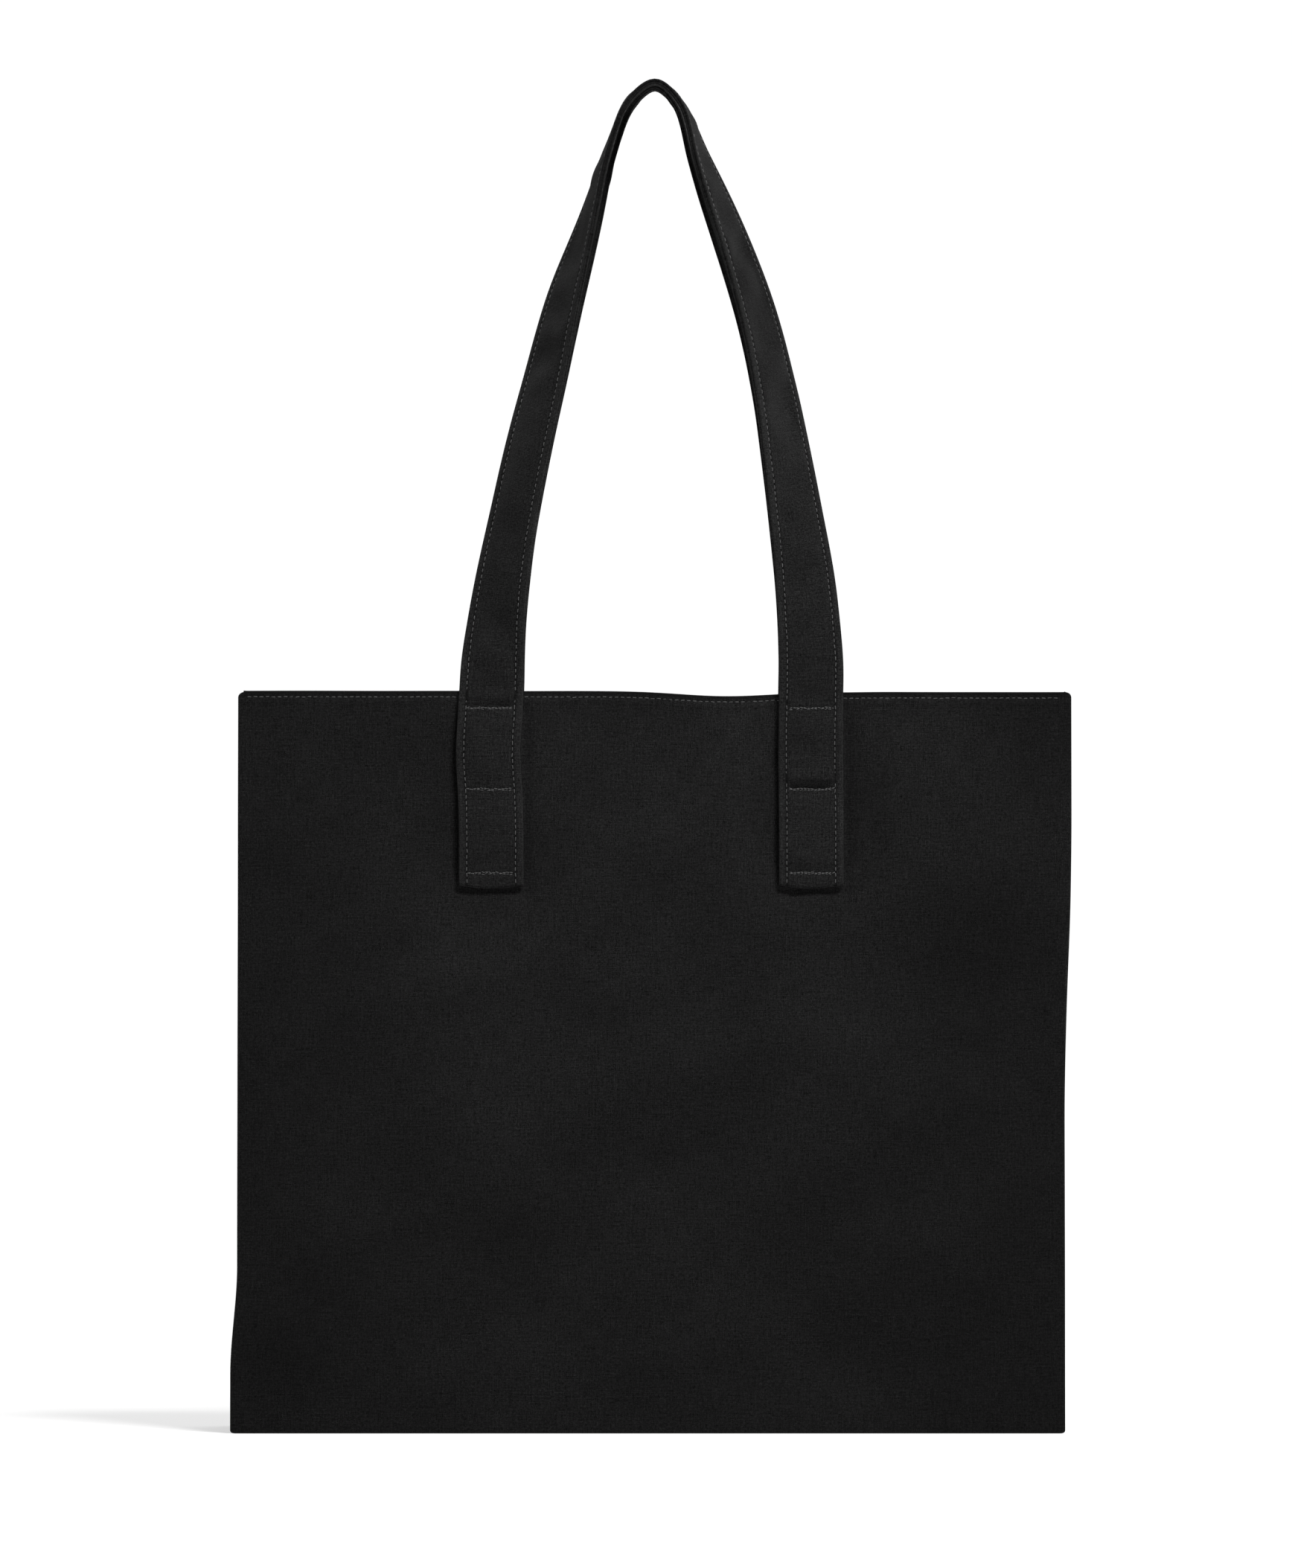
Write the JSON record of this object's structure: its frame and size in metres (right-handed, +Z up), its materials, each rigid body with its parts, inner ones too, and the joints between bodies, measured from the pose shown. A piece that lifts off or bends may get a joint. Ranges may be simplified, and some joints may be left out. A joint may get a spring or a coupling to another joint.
{
  "type": "canvas tote bag",
  "caption": "Open-top canvas tote bag with folded side gussets, a flat base and two long folded-canvas handles sewn to the outside of its walls.",
  "frame": {"origin": "middle of the base's underside, on the surface that the bag stands on", "axes": "+Z up towards the handles, -Y out of the front wall, +X to the right seen from the front"},
  "size_m": [0.4, 0.1, 0.652],
  "materials": {
    "body_canvas": "matt black plain-woven cotton duck with a faint grey lint",
    "strap_canvas": "matt black cotton duck, folded and pressed, a little lighter along the folds",
    "thread": "dark grey spun sewing thread, slightly lighter than the cloth"
  },
  "bodies": {
    "base": {"base_back_seam_stitching": "thread", "base_front_seam_stitching": "thread", "base_left_seam_stitching": "thread", "base_panel": "body_canvas", "base_right_seam_stitching": "thread", "left_gusset": "body_canvas", "left_gusset_hem_stitching": "thread", "right_gusset": "body_canvas", "right_gusset_hem_stitching": "thread"},
    "front_wall": {"front_handle_left_tail": "strap_canvas", "front_handle_right_tail": "strap_canvas", "front_hem_stitching": "thread", "front_left_seam_stitching": "thread", "front_left_tail_bottom_tack": "thread", "front_left_tail_inner_stitching": "thread", "front_left_tail_middle_tack": "thread", "front_left_tail_outer_stitching": "thread", "front_left_tail_top_tack": "thread", "front_panel": "body_canvas", "front_right_seam_stitching": "thread", "front_right_tail_bottom_tack": "thread", "front_right_tail_inner_stitching": "thread", "front_right_tail_middle_tack": "thread", "front_right_tail_outer_stitching": "thread", "front_right_tail_top_tack": "thread"},
    "back_wall": {"back_handle_left_tail": "strap_canvas", "back_handle_right_tail": "strap_canvas", "back_hem_stitching": "thread", "back_left_seam_stitching": "thread", "back_left_tail_bottom_tack": "thread", "back_left_tail_inner_stitching": "thread", "back_left_tail_middle_tack": "thread", "back_left_tail_outer_stitching": "thread", "back_left_tail_top_tack": "thread", "back_panel": "body_canvas", "back_right_seam_stitching": "thread", "back_right_tail_bottom_tack": "thread", "back_right_tail_inner_stitching": "thread", "back_right_tail_middle_tack": "thread", "back_right_tail_outer_stitching": "thread", "back_right_tail_top_tack": "thread"},
    "front_handle": {"front_handle_loop": "strap_canvas", "front_loop_inner_stitching": "thread", "front_loop_outer_stitching": "thread"},
    "back_handle": {"back_handle_loop": "strap_canvas", "back_loop_inner_stitching": "thread", "back_loop_outer_stitching": "thread"}
  },
  "joints": [
    {"name": "front_wall_opening", "type": "hinge", "parent": "base", "child": "front_wall", "pos_m": [0, -0.05, 0.0003], "axis": [1, 0, 0], "range_deg": [0, 4.5]},
    {"name": "back_wall_opening", "type": "hinge", "parent": "base", "child": "back_wall", "pos_m": [0, 0.05, 0.0003], "axis": [-1, 0, 0], "range_deg": [0, 4.5]},
    {"name": "front_handle_swing", "type": "hinge", "parent": "front_wall", "child": "front_handle", "pos_m": [0, -0.02682, 0.35137], "axis": [1, 0, 0], "range_deg": [0, 165]},
    {"name": "back_handle_swing", "type": "hinge", "parent": "back_wall", "child": "back_handle", "pos_m": [0, 0.02682, 0.35137], "axis": [-1, 0, 0], "range_deg": [0, 165]}
  ],
  "couplings": [
    {"joint": "back_wall_opening", "follows": "front_wall_opening", "ratio": 1}
  ]
}
